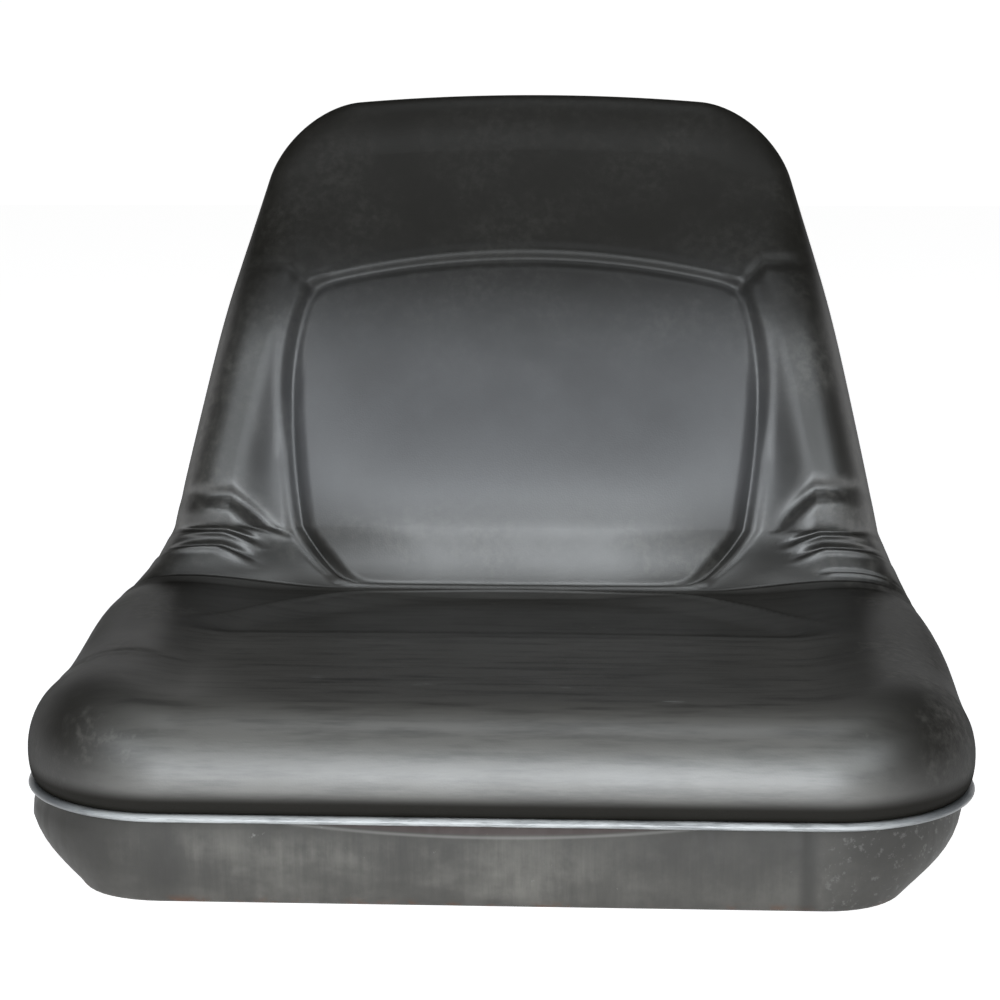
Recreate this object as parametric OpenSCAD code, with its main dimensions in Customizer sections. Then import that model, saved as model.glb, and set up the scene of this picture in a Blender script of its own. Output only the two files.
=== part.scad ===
// Tractor seat with a pressed steel shell, a foam cushion under a moulded vinyl cover and an edge trim.
// Every form is drawn on the shell's underside, unrolled: x runs across the seat, s runs from the front
// edge over the floor, round the bend and up the back, and h stands off the underside.
// The origin is the centre of the four mounting bolts on the underside. The sitter faces -Y, +Z is up.

/* [Shell] */
// Half of the width over the lip at the front
lip_half = 249; // [225:0.5:265]
// More half-width over the lip at the back of the floor
rear_spread = 8; // [0:0.5:10]
// Radius of the lip's two front corners
front_corner = 80; // [72:1:92]
// Radius of the lip's two top corners
top_corner = 44; // [40:1:56]
// Length of the flat floor, from the front edge to the bend
floor_len = 305; // [285:1:320]
// Radius of the underside at the bend
bend_r = 147; // [140:1:156]
// Turn from floor to back, in degrees
bend_deg = 79; // [76:0.5:82]
// Length of the straight back
back_len = 274; // [250:1:290]
// Narrowing of each side from the bend on, per mm
bend_taper = 0.205; // [0.15:0.001:0.23]
// More narrowing of each side behind the head roll, per mm
head_taper = 0.095; // [0.05:0.005:0.12]
// Rise of the top edge in its middle
top_crown = 9; // [0:0.5:12]
// Height of the lip over the floor at the front
lip_front = 48; // [42:0.5:52]
// Height of the lip over the floor where the bend begins
lip_bend = 57; // [52:0.5:60]
// Depth of the shell behind the lip at the top of the back
lip_top = 29; // [26:0.5:34]
// Thickness of the sheet
sheet = 1.5; // [1.2:0.1:2.5]
// Width of the flange that the lip is turned out to
flange_w = 3.4; // [3:0.1:5]
// Lean of the side walls, lip to floor, at the seat
side_lean = 38; // [30:1:42]
// Lean of the side walls at the top of the back
side_lean_top = 22; // [18:1:26]
// Lean of the front wall, lip to floor
front_lean = 9; // [8:0.5:14]
// Depth of the ribs pressed into the floor and the back
rib_depth = 4; // [2:0.5:6]
// Width of each rib
rib_w = 16; // [12:1:22]

/* [Mounting] */
// Distance between bolts across the seat
bolt_x = 286; // [240:1:300]
// Distance between bolts from front to back
bolt_y = 203; // [160:1:210]
// Distance of the bolt pattern's centre behind the front edge
bolt_from_front = 146; // [138:1:155]
// Radius of the nut's threaded bore, at tapping size for an 8 mm bolt
nut_bore_r = 3.4; // [3:0.05:4.3]
// Radius of the nut's pilot collar
collar_r = 5.3; // [5:0.1:6]
// Width of the nut across its flats
nut_flats = 14; // [13:0.5:17]
// Height of the nut over the plate
nut_h = 6.5; // [5:0.5:8]
// Thickness of the mounting plates
plate_t = 3; // [2:0.5:4]
// Width of the mounting plates
plate_w = 44; // [34:1:50]
// Length that a plate runs on past each bolt
plate_end = 20; // [14:1:24]
// Radius of the drain hole in the floor
drain_r = 6; // [4:0.5:8]

/* [Cushion] */
// Thickness of the cushion over the lip at the front
front_pad = 54; // [48:0.5:58]
// Thickness of the cushion over the lip in the middle of the seat
seat_pad = 50; // [44:0.5:54]
// Thickness of the cushion beside the lumbar panel
back_pad = 46; // [42:0.5:50]
// Thickness of the cushion at the top, under the head roll
head_pad = 23; // [18:0.5:36]
// Reach of the rounded edge inwards from the lip, at the front
edge_front = 42; // [38:1:50]
// Reach of the rounded edge beside the seat
edge_seat = 48; // [42:1:54]
// Reach of the rounded edge beside the back
edge_back = 33; // [28:1:38]
// Reach of the rounded edge at the top
edge_top = 34; // [28:1:38]
// Bulge of the cushion outside the lip
bulge = 2.5; // [0:0.5:4]
// Height of the widest line over the lip
bulge_h = 17; // [14:1:22]
// Thickness of the vinyl cover
cover_t = 2; // [1.5:0.1:2.5]
// Air between the cover, the foam and the steel
clearance = 0.3; // [0.2:0.05:0.6]
// Height of the side bolsters on the seat
bolster_seat = 5; // [0:0.5:8]
// More height of the side bolsters at the back
bolster_back = 8; // [0:0.5:12]
// Depth of the dish behind the crease on the seat
dish_depth = 4; // [0:0.5:6]
// Swell of the lumbar panel over its border
panel_swell = 11; // [0:0.5:13]
// More swell low in the panel, over the bend
lumbar_fill = 9; // [0:0.5:10]
// Depth of the groove round the lumbar panel
groove_depth = 2.4; // [0:0.1:4]
// Height of the ridge outside the groove
ridge_h = 1.2; // [0:0.1:2]
// Swell of the head roll
head_swell = 2; // [0:0.5:8]
// Depth of the puckers at the bend
pucker_depth = 3; // [0:0.5:4]

/* [Edge trim] */
// Thickness of the trim's two legs
trim_t = 1.2; // [1:0.1:1.5]
// Reach of the trim's upper leg over the flange
trim_leg = 4; // [3:0.1:4.2]
// Reach of the trim's lower leg under the flange
lower_leg = 2.2; // [1.8:0.1:2.6]
// Reach of the bead outside the flange
bead = 2.6; // [2:0.1:4]

/* [Hidden] */

bend_len = bend_r * bend_deg * PI / 180;
total_len = floor_len + bend_len + back_len;
// The share of the bend after which the lip comes down to its depth at the top
lip_fall_share = 0.35;
lip_fall_from = floor_len + bend_len * lip_fall_share;
// Where the floor is at its widest, and where the sides begin to close in, once and once more
spread_to = 310;
taper_from = 348;
head_taper_from = 650;
taper_blend = 40;

// The handles of the side wall's curve, as shares of its lean and of its height
WALL_OUT = 0.015;
WALL_IN = 0.41;
WALL_HIGH = 0.43;
WALL_LOW = 0.26;
WALL_STEPS = [0.22, 0.42, 0.6, 0.78];

// The border of the lumbar panel, how far in from it the panel swells, and the curves round the dish
panel_bottom = 366;
panel_top = 690;
panel_arch = 20;
panel_wide_at = 597;
panel_half = 148;
panel_corner = 138;
panel_narrowing = 42;
narrowing_power = 1.7;
side_rise = 34;
low_rise = 110;
top_rise = 150;
FILL_FALL = [150, 300];
crease_at = 189;
crease_bow = 5;
crease_half = 200;
dish_near = 26;
arc_at = 340;
arc_bow = 120;
arc_half = 178;
arc_out = -4;
dish_far = 40;

// Widths of the groove round the panel and of the ridge outside it, and the ridge's distance from it
groove_w = 3.4;
ridge_w = 4.2;
ridge_out = 7;

// The half-width where the seat's side bolsters begin, and how far outside the panel the back's ones do
bolster_from = 160;
bolster_out = 6;
bolster_run = 10;

// Between which two places along the seat one thickness or width goes over to the next
SEAT_FADE = [60, 180];
BEND_FADE = [260, 360];
HEAD_FADE = [610, 790];
ROLL_FADE = [694, 744];
EDGE_SEAT_FADE = [0, 200];
EDGE_BACK_FADE = [400, 570];
EDGE_TOP_FADE = [690, 780];
VALLEY_FADE = [240, panel_bottom];
BOLSTER_RISE = [300, 430];
BOLSTER_FALL = [630, 720];
// How square the rounded edge is: 2 is an ellipse
edge_flat = 2.7;

// The ends of the puckers on the right side, and their width
PUCKERS = [[[204, 534], [160, 506]], [[210, 496], [160, 466]], [[216, 452], [168, 420]]];
pucker_w = 7;
// Where each pucker fades out, before its first end and round its second one
PUCKER_START = [-0.25, 0.2];
PUCKER_END = [1.3, 0.7];

// Half the number of columns, the number of rows and of steps round each half corner
COLS = 11;
CORNER = 3;
TOP_CORNER = 2;
// Each row's place at the side, how much further up it lies in its middle, and how flat it is there
SIDE_ROWS = [115, 150, 172, 184, 202, 226, 252, 286, 314, 342, 378, 402, 424, 446, 469, 488, 508, 534, 578,
             622, 659, 668, 677, 706];
ROW_BOWS = [0, 0, 8, 5, 28, 64, 86, 73, 52, 31, 22, 30, 38, 42, 41, 44, 48, 52, 40, 30, 24, 22, 20, 16];
ROW_FLAT = [2, 2, 2, 2, 2, 2, 3, 5, 5, 5, 5, 4, 3, 2, 2, 2, 2, 2, 2, 2, 2, 2, 2, 2];
ROWS = len(SIDE_ROWS) + CORNER + TOP_CORNER + 1;
// How far out each column lies along the front edge and the top edge, and across the panel and beside it
FRONT_FRACTIONS = [0, 0.2, 0.4, 0.58, 0.71, 0.78, 0.82, 0.85];
TOP_FRACTIONS = [0, 0.2, 0.4, 0.57, 0.69, 0.76, 0.8, 0.85];
PANEL_FRACTIONS = [0, 0.25, 0.5, 0.72, 0.88];
BESIDE_FRACTIONS = [0.3, 0.55, 0.8, 1];
// The column on the panel's border, and how far off it the columns beside it lie
BORDER_COL = len(PANEL_FRACTIONS) + 1;
PANEL_RIM = 5;
// The columns reach the front's and the top's fractions between these places
FRONT_BLEND = [60, 320];
TOP_BLEND = [664, 740];
FRONT_BOW = -10;
TOP_BOWS = [7, 3];
// The part of the front edge and of the top edge that the inner columns share
STRAIGHT_SHARE = 0.97;
// Angles of the rings on the rounded edge, above the widest line and below it
UPPER_RINGS = [64, 40, 18, 0];
LOWER_RINGS = [45, 90];

// Facets of the round holes and collars and of the ribs' ends, and how far a cut runs on past a face
ROUND_FACETS = 48;
RIB_FACETS = 40;
past = 1;
// Half the width of a nut over its corners, and the room round it in the foam
nut_corner_r = nut_flats / 2 / cos(30);
nut_room = 1;
// Colours of the pan, the plates, the nuts, the foam, the cover and the trim
PAN_COLOR = [0.22, 0.21, 0.2];
PLATE_COLOR = [0.35, 0.35, 0.36];
NUT_COLOR = [0.7, 0.7, 0.68];
FOAM_COLOR = [0.85, 0.78, 0.55];
COVER_COLOR = [0.09, 0.09, 0.1];
TRIM_COLOR = [0.12, 0.12, 0.12];

function soft(t) = (t + sqrt(t * t + taper_blend * taper_blend)) / 2;
function smooth(a, b, v) = let (t = min(max((v - a) / (b - a), 0), 1)) t * t * (3 - 2 * t);
function mix(a, b, t) = a + (b - a) * t;
function bell(v, w) = exp(-(v / w) * (v / w));

// Half-width of the lip, and the height of the lip over the underside
function half_w(s) = lip_half + rear_spread * smooth(front_corner, spread_to, s)
    - bend_taper * soft(s - taper_from) - head_taper * soft(s - head_taper_from);
function lip_h(s) = s < floor_len
    ? mix(lip_front, lip_bend, max(s, 0) / floor_len)
    : mix(lip_bend, lip_top, min(max((s - lip_fall_from) / (total_len - lip_fall_from), 0), 1));

// The point at x, s and h, in the seat's own frame
function crowned(x, s) =
    s + top_crown * (1 - pow(x / half_w(total_len), 2)) * smooth(head_taper_from, total_len, s);
function place(x, s, h) =
    let (
        c = crowned(x, s),
        turn = bend_deg * min(max((c - floor_len) / bend_len, 0), 1),
        flat = min(c, floor_len),
        up = max(c - floor_len - bend_len, 0),
        y = flat + bend_r * sin(turn) + up * cos(bend_deg) - h * sin(turn),
        z = bend_r * (1 - cos(turn)) + up * sin(bend_deg) + h * cos(turn)
    ) [x, y - bolt_from_front, z];

// Reach of the rounded edge, and the inner half-width where it begins
function fade(range, v) = smooth(range[0], range[1], v);
function edge_w(s) = mix(mix(edge_front, edge_seat, fade(EDGE_SEAT_FADE, s)),
                         mix(edge_back, edge_top, fade(EDGE_TOP_FADE, s)), fade(EDGE_BACK_FADE, s));

// A station on the lip: x, s, the outward direction, and how far it looks to the front or the top
function side_station(j, side) =
    j < CORNER ? corner_station(side, -1, 45 * (1 - j / CORNER))
    : j > ROWS - 1 - TOP_CORNER ? corner_station(side, 1, 45 * (j - ROWS + 1 + TOP_CORNER) / TOP_CORNER)
    : let (s = row_side(j)) [side * half_w(s), s, side, 0, 0];
function corner_station(side, way, angle) =
    let (
        r = way < 0 ? front_corner : top_corner,
        s = way < 0 ? r - r * sin(angle) : total_len - r + r * sin(angle),
        base = half_w(way < 0 ? 0 : s) - r
    ) [side * (base + r * cos(angle)), s, side * cos(angle), way * sin(angle), pow(sin(angle), 2)];
function end_station(i, way) =
    let (
        n = abs(i),
        side = i < 0 ? -1 : 1,
        steps = way < 0 ? CORNER : TOP_CORNER,
        r = way < 0 ? front_corner : top_corner,
        fractions = way < 0 ? FRONT_FRACTIONS : TOP_FRACTIONS,
        straight = half_w(way < 0 ? 0 : total_len) - r
    )
    n > COLS - steps ? corner_station(side, way, 90 - 45 * (n - COLS + steps) / steps)
    : let (
        last = len(fractions) - 1,
        x = n <= last ? fractions[n] / fractions[last] * straight * STRAIGHT_SHARE
            : straight * mix(STRAIGHT_SHARE, 1, (n - last) / (COLS - steps - last)))
      [side * x, way < 0 ? 0 : total_len, 0, way, 1];

// The lip's stations in order: the front edge, the right side, the top edge and the left side
STATIONS = concat(
    [for (i = [-COLS:COLS]) end_station(i, -1)],
    [for (j = [1:ROWS - 1]) side_station(j, 1)],
    [for (i = [COLS - 1:-1:-COLS]) end_station(i, 1)],
    [for (j = [ROWS - 2:-1:1]) side_station(j, -1)]
);
STATION_COUNT = len(STATIONS);

// Where each row meets the side
function row_side(j) =
    j == CORNER ? front_corner
    : j == ROWS - 1 - TOP_CORNER ? total_len - top_corner
    : SIDE_ROWS[j - CORNER - 1];

// Half-width of the lumbar panel at s, and the distances inwards from its sides, its bottom and its top
function panel_w(s) = s < panel_wide_at
    ? panel_half - panel_narrowing
                   * pow((panel_wide_at - s) / (panel_wide_at - panel_bottom), narrowing_power)
    : panel_half - (panel_half - panel_corner)
                   * pow((s - panel_wide_at) / (panel_top - panel_arch - panel_wide_at), 2);
function panel_edges(x, s) = [panel_w(max(s, panel_bottom)) - abs(x), s - panel_bottom,
                              panel_top - panel_arch * pow(x / panel_corner, 2) - s];

// Relief of the cushion's face
function crown(d, reach) = let (t = min(max(d / reach, 0), 1)) t * (2 - t);
function swell(d) = (panel_swell + lumbar_fill * (1 - fade(FILL_FALL, d[1])))
    * crown(d[0], side_rise) * crown(d[1], low_rise) * crown(d[2], top_rise);
function groove(d) = -groove_depth * bell(d, groove_w) + ridge_h * bell(d + ridge_out, ridge_w);
function dish(x, s) =
    let (
        from_crease = s - crease_at + crease_bow * pow(x / crease_half, 2),
        to_arc = arc_at - arc_bow * pow(x / arc_half, 2) - s
    ) -dish_depth * smooth(0, dish_near, from_crease) * smooth(arc_out, dish_far, to_arc);
function valley_w(s) = s < panel_bottom
    ? mix(bolster_from, panel_w(panel_bottom) + bolster_out, fade(VALLEY_FADE, s))
    : panel_w(s) + bolster_out;
function bolster(x, s) =
    let (
        inner = half_w(s) - edge_w(s),
        rise = bolster_seat + bolster_back * fade(BOLSTER_RISE, s)
               - (bolster_seat + bolster_back) * fade(BOLSTER_FALL, s)
    ) rise * smooth(min(valley_w(s), inner - bolster_run), inner, abs(x));
function line_crease(x, s, ends) =
    let (
        run = ends[1] - ends[0],
        from = [x, s] - ends[0],
        t = from * run / (run * run),
        off = (from[0] * run[1] - from[1] * run[0]) / norm(run)
    ) bell(off, pucker_w) * fade(PUCKER_START, t) * fade(PUCKER_END, t);
function puckers(x, s) =
    let (each_one = [for (ends = PUCKERS) line_crease(abs(x), s, ends)])
    -pucker_depth * each_one * [for (k = each_one) 1];
function pad(x, s) =
    let (
        seat = mix(front_pad, seat_pad, fade(SEAT_FADE, s)),
        back = mix(back_pad, head_pad, fade(HEAD_FADE, s)),
        edges = panel_edges(x, s)
    ) mix(seat, back, fade(BEND_FADE, s)) + head_swell * fade(ROLL_FADE, s)
    + swell(edges) + groove(min(edges)) + dish(x, s) + bolster(x, s) + puckers(x, s);

// The point of the face at column i and row j, on the unrolled underside
function column_fraction(i, j, s) =
    let (
        n = abs(i),
        inner = half_w(s) - edge_w(s),
        rim = panel_w(min(max(s, panel_bottom), panel_top - panel_arch)),
        off = n - BORDER_COL,
        mid = off < -1 ? PANEL_FRACTIONS[n] * (rim - PANEL_RIM) / inner
            : off < 2 ? (rim + PANEL_RIM * off) / inner
            : mix((rim + PANEL_RIM) / inner, 1, BESIDE_FRACTIONS[off - 2]),
        front = abs(edge_point(end_station(n, -1))[0] / edge_point(end_station(COLS, -1))[0]),
        top = abs(edge_point(end_station(n, 1))[0] / edge_point(end_station(COLS, 1))[0]),
        to_front = 1 - fade(FRONT_BLEND, s),
        to_top = fade(TOP_BLEND, s)
    ) sign(i) * (mid * (1 - to_front - to_top) + front * to_front + top * to_top);
function edge_point(st) = [st[0] - edge_w(st[1]) * st[2], st[1] - edge_w(st[1]) * st[3]];
function row_bow(j) =
    j <= CORNER ? FRONT_BOW * (1 - j / CORNER)
    : j > ROWS - 2 - TOP_CORNER ? mix(TOP_BOWS[0], TOP_BOWS[1], (j - ROWS + 1 + TOP_CORNER) / TOP_CORNER)
    : ROW_BOWS[j - CORNER - 1];
function row_flat(j) = j <= CORNER || j > ROWS - 2 - TOP_CORNER ? 2 : ROW_FLAT[j - CORNER - 1];
function face_point(i, j) =
    abs(i) == COLS ? edge_point(side_station(j, sign(i)))
    : j == 0 ? edge_point(end_station(i, -1))
    : j == ROWS - 1 ? edge_point(end_station(i, 1))
    : let (
        side = edge_point(side_station(j, 1)),
        f = column_fraction(i, j, side[1])
    ) [f * side[0], side[1] + row_bow(j) * (1 - pow(abs(f), row_flat(j)))];

FACE = [for (j = [0:ROWS - 1]) for (i = [-COLS:COLS]) face_point(i, j)];
FACE_PADS = [for (p = FACE) pad(p[0], p[1])];
FACE_COUNT = len(FACE);
WIDE = 2 * COLS + 1;
// Which face points lie on its rim, in the order of the stations
FACE_RIM = concat(
    [for (i = [0:WIDE - 1]) i],
    [for (j = [1:ROWS - 1]) j * WIDE + WIDE - 1],
    [for (i = [WIDE - 2:-1:0]) (ROWS - 1) * WIDE + i],
    [for (j = [ROWS - 2:-1:1]) j * WIDE]
);

// The face lowered by d, and the rings of the rounded edge drawn in by d
function face(d) = [for (k = [0:FACE_COUNT - 1])
    place(FACE[k][0], FACE[k][1], lip_h(FACE[k][1]) + FACE_PADS[k] - d)];
function at_station(st, e, h) = place(st[0] - e * st[2], st[1] - e * st[3], lip_h(st[1]) + h);
function upper_ring(angle, d) = [for (k = [0:STATION_COUNT - 1])
    let (
        st = STATIONS[k],
        m = edge_w(st[1]),
        top = FACE_PADS[FACE_RIM[k]] - d,
        inset = m - (m + bulge - d) * pow(cos(angle), 2 / edge_flat)
    ) at_station(st, inset, bulge_h + (top - bulge_h) * sin(angle))];
function lower_ring(angle, d) = [for (st = STATIONS)
    at_station(st, trim_leg / 2 + d - (trim_leg / 2 + bulge) * cos(angle),
               trim_t + (bulge_h - trim_t) * (1 - sin(angle)))];
function edge_rings(d) = concat([for (a = UPPER_RINGS) each upper_ring(a, d)],
                                [for (a = LOWER_RINGS) each lower_ring(a, d)]);
EDGE_RINGS = len(UPPER_RINGS) + len(LOWER_RINGS);

// Faces between points in a grid, between two rings, and across a flat bottom
function grid_faces(from, flip) = [for (j = [0:ROWS - 2]) for (i = [0:WIDE - 2])
    let (a = from + j * WIDE + i, b = a + 1, c = b + WIDE, d = a + WIDE)
    each (flip ? [[a, b, c], [a, c, d]] : [[a, c, b], [a, d, c]])];
function ring(from) = [for (k = [0:STATION_COUNT - 1]) from + k];
// The diagonals of a wall run down from each station to the next, or up where the wall is followed upwards,
// so that two walls that face each other are cut alike
function wall(a, b, up = false) = [for (k = [0:STATION_COUNT - 1])
    let (n = (k + 1) % STATION_COUNT)
    each (up ? [[a[k], a[n], b[k]], [a[n], b[n], b[k]]] : [[a[k], a[n], b[n]], [a[k], b[n], b[k]]])];
function walls(rings, up = false) = [for (k = [0:len(rings) - 2]) each wall(rings[k], rings[k + 1], up)];
function floor_faces(r, flip) =
    let (
        right = [for (j = [0:ROWS - 1]) r[WIDE - 1 + j]],
        left = [for (j = [0:ROWS - 1]) r[(STATION_COUNT - j) % STATION_COUNT]],
        front = concat([for (i = [0:WIDE - 1]) r[i]], [right[1], left[1]]),
        top = concat([for (i = [0:WIDE - 1]) r[WIDE + ROWS - 2 + i]], [left[ROWS - 2], right[ROWS - 2]]),
        middle = [for (j = [1:ROWS - 3]) [left[j], right[j], right[j + 1], left[j + 1]]],
        all = concat([front, top], middle)
    ) [for (f = all) flip ? f : [for (k = [len(f) - 1:-1:0]) f[k]]];

// The shell's section at a station, as inset and height over the underside, outside and inside
function lean(st) =
    let (side = mix(side_lean, side_lean_top, smooth(floor_len, total_len, st[1])),
         ends = st[1] < floor_len ? front_lean : side_lean_top)
    mix(side, ends, st[4]);
function shell_point(st, e, h) = place(st[0] - e * st[2], st[1] - e * st[3], h);
function wall_handles(st) =
    let (high = lip_h(st[1]) - sheet, run = lean(st) - flange_w)
    [[flange_w, high], [flange_w + run * WALL_OUT, high * WALL_HIGH],
     [flange_w + run * WALL_IN, high * WALL_LOW], [flange_w + run, 0]];
function wall_point(st, t, inward) =
    let (
        p = wall_handles(st),
        u = 1 - t,
        at = u * u * u * p[0] + 3 * t * u * u * p[1] + 3 * t * t * u * p[2] + t * t * t * p[3],
        slope = u * u * (p[1] - p[0]) + 2 * t * u * (p[2] - p[1]) + t * t * (p[3] - p[2])
    ) at + inward / norm(slope) * [-slope[1], slope[0]];
function outer_section(st) = concat(
    [[0, lip_h(st[1]) - sheet], [flange_w, lip_h(st[1]) - sheet]],
    [for (t = WALL_STEPS) wall_point(st, t, 0)],
    [[lean(st), 0]]);
function inner_section(st, d) =
    let (p = wall_handles(st), turn = atan2(p[2][1], p[3][0] - p[2][0]))
    concat(
        [[flange_w + d, lip_h(st[1]) + d - sheet]],
        [for (t = WALL_STEPS) wall_point(st, t, d)],
        [[lean(st) + d * tan(turn / 2), d]]);
OUTER_STEPS = len(WALL_STEPS) + 3;
INNER_STEPS = len(WALL_STEPS) + 2;

module slot(length, r) {
    square([2 * r, length - 2 * r], center = true);
    for (end = [-1, 1]) translate([0, end * (length / 2 - r), 0]) circle(r, $fn = RIB_FACETS);
}
function rib_turn(s) = s < floor_len ? 0 : bend_deg;
// The ribs' places and lengths, and the drain's distance from the bend
floor_rib_x = 62;
floor_rib_len = 190;
back_rib_x = 70;
back_rib_len = 170;
back_rib_from_top = 150;
drain_from_bend = 30;
// A slot-shaped prism through the sheet at x and s, as long as length, from height a to height b
module rib_prism(x, s, length, grow, a, b) {
    translate(place(x, s, 0)) rotate([rib_turn(s), 0, 0]) translate([0, 0, a])
        linear_extrude(b - a) slot(length + 2 * grow, rib_w / 2 + grow);
}
// Each rib's x, s and length, two in the floor and three in the back
RIBS = concat([for (x = [-1, 1]) [x * floor_rib_x, bolt_from_front, floor_rib_len]],
              [for (x = [-1, 0, 1]) [x * back_rib_x, total_len - back_rib_from_top, back_rib_len]]);

module shell_solid() {
    lips = [for (st = STATIONS) at_station(st, 0, 0)];
    outer = [for (k = [0:OUTER_STEPS - 1]) each
        [for (st = STATIONS) let (p = outer_section(st)[k]) shell_point(st, p[0], p[1])]];
    inner = [for (k = [INNER_STEPS - 1:-1:0]) each
        [for (st = STATIONS) let (p = inner_section(st, sheet)[k]) shell_point(st, p[0], p[1])]];
    points = concat(lips, outer, inner);
    n = STATION_COUNT;
    outer_rings = [for (k = [0:OUTER_STEPS]) ring(k * n)];
    inner_rings = [for (k = [0:INNER_STEPS - 1]) ring((OUTER_STEPS + 1 + k) * n)];
    polyhedron(points, concat(
        walls(outer_rings),
        floor_faces(outer_rings[OUTER_STEPS], true),
        floor_faces(inner_rings[0], false),
        walls(concat(inner_rings, [ring(0)]), true)
    ));
}

module bolts_at() {
    for (x = [-1, 1]) for (y = [-1, 1]) translate([x * bolt_x / 2, y * bolt_y / 2, 0]) children();
}

module floor_hole(r) {
    translate([0, 0, -past]) cylinder(r = r, h = sheet + 2 * past, $fn = ROUND_FACETS);
}

module seat_pan() {
    color(PAN_COLOR) difference() {
        union() {
            shell_solid();
            for (r = RIBS) rib_prism(r[0], r[1], r[2], sheet, sheet / 2, rib_depth + sheet);
        }
        for (r = RIBS) rib_prism(r[0], r[1], r[2], 0, -past, rib_depth);
        bolts_at() floor_hole(collar_r + clearance);
        translate([0, floor_len - bolt_from_front - drain_from_bend, 0]) floor_hole(drain_r);
    }
}

module mount_plate(side) {
    length = bolt_y + 2 * plate_end;
    color(PLATE_COLOR) difference() {
        translate([side * bolt_x / 2 - plate_w / 2, -length / 2, sheet]) cube([plate_w, length, plate_t]);
        bolts_at() cylinder(r = collar_r + clearance, h = sheet + plate_t + past, $fn = ROUND_FACETS);
    }
}
module left_mount_plate() { mount_plate(-1); }
module right_mount_plate() { mount_plate(1); }

module weld_nuts() {
    color(NUT_COLOR) bolts_at() difference() {
        union() {
            translate([0, 0, sheet + plate_t])
                cylinder(r = nut_corner_r, h = nut_h, $fn = 6);
            cylinder(r = collar_r, h = sheet + plate_t + past, $fn = ROUND_FACETS);
        }
        translate([0, 0, -past])
            cylinder(r = nut_bore_r, h = sheet + plate_t + nut_h + 2 * past, $fn = ROUND_FACETS);
    }
}

module foam_solid() {
    d = cover_t + clearance;
    gap = sheet + clearance;
    // The lowest ring of the edge stands just inside the trim's leg, and the next one beside the wall
    seat_ring = [for (st = STATIONS) at_station(st, trim_leg + 2 * clearance, clearance)];
    step = max(flange_w + gap, trim_leg + 3 * clearance) - flange_w - gap;
    under = [for (k = [0:INNER_STEPS - 1]) each [for (st = STATIONS)
        let (p = inner_section(st, gap)[k]) shell_point(st, p[0] + (k == 0 ? step : 0), p[1])]];
    rings = edge_rings(d);
    n = STATION_COUNT;
    points = concat(face(d), [for (k = [0:(EDGE_RINGS - 1) * n - 1]) rings[k]], seat_ring, under);
    loops = [for (k = [0:EDGE_RINGS + INNER_STEPS - 1]) ring(FACE_COUNT + k * n)];
    polyhedron(points, concat(
        grid_faces(0, false),
        walls(concat([FACE_RIM], loops)),
        floor_faces(loops[EDGE_RINGS + INNER_STEPS - 1], true)
    ));
}
module cushion_foam() {
    length = bolt_y + 2 * plate_end + 2 * clearance;
    width = plate_w + 2 * clearance;
    color(FOAM_COLOR) difference() {
        foam_solid();
        for (side = [-1, 1]) translate([side * bolt_x / 2 - width / 2, -length / 2, 0])
            cube([width, length, sheet + plate_t + clearance]);
        bolts_at() cylinder(r = nut_corner_r + nut_room, h = sheet + plate_t + nut_h + clearance,
                            $fn = ROUND_FACETS);
        for (r = RIBS) rib_prism(r[0], r[1], r[2], sheet + clearance, 0, rib_depth + sheet + clearance);
    }
}

module vinyl_cover() {
    n = STATION_COUNT;
    inside = edge_rings(cover_t);
    points = concat(
        face(0), edge_rings(0),
        [for (k = [EDGE_RINGS - 1:-1:0]) for (i = [0:n - 1]) inside[k * n + i]],
        face(cover_t)
    );
    inner_from = FACE_COUNT + 2 * EDGE_RINGS * n;
    loops = [for (k = [0:2 * EDGE_RINGS - 1]) ring(FACE_COUNT + k * n)];
    outside = concat([FACE_RIM], [for (k = [0:EDGE_RINGS - 1]) loops[k]]);
    inward = concat([for (k = [EDGE_RINGS:2 * EDGE_RINGS - 1]) loops[k]],
                    [[for (k = FACE_RIM) inner_from + k]]);
    color(COVER_COLOR) polyhedron(points, concat(
        grid_faces(0, false),
        walls(outside),
        wall(outside[EDGE_RINGS], inward[0]),
        walls(inward, true),
        grid_faces(inner_from, true)
    ));
}

// Where the bead's round begins, and how far it stands over and under the trim's legs
bead_root = 0.55;
bead_upper = 1.3;
bead_lower = 0.9;
module edge_trim() {
    root = -bead * bead_root;
    section = [[trim_leg, trim_t], [0, trim_t], [root, trim_t * bead_upper], [-bead, -sheet / 2],
               [root, -sheet - trim_t * bead_lower], [lower_leg, -sheet - trim_t], [lower_leg, -sheet],
               [0, -sheet], [0, 0], [trim_leg, 0]];
    count = len(section);
    points = [for (p = section) each [for (st = STATIONS) at_station(st, p[0], p[1])]];
    color(TRIM_COLOR) polyhedron(points, [for (k = [0:count - 1])
        let (n = (k + 1) % count)
        each wall(ring(k * STATION_COUNT), ring(n * STATION_COUNT), section[n][0] < section[k][0])]);
}

seat_pan();
left_mount_plate();
right_mount_plate();
weld_nuts();
cushion_foam();
vinyl_cover();
edge_trim();
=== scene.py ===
import bpy
import bmesh
import numpy as np
from mathutils import Matrix, Vector


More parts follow.
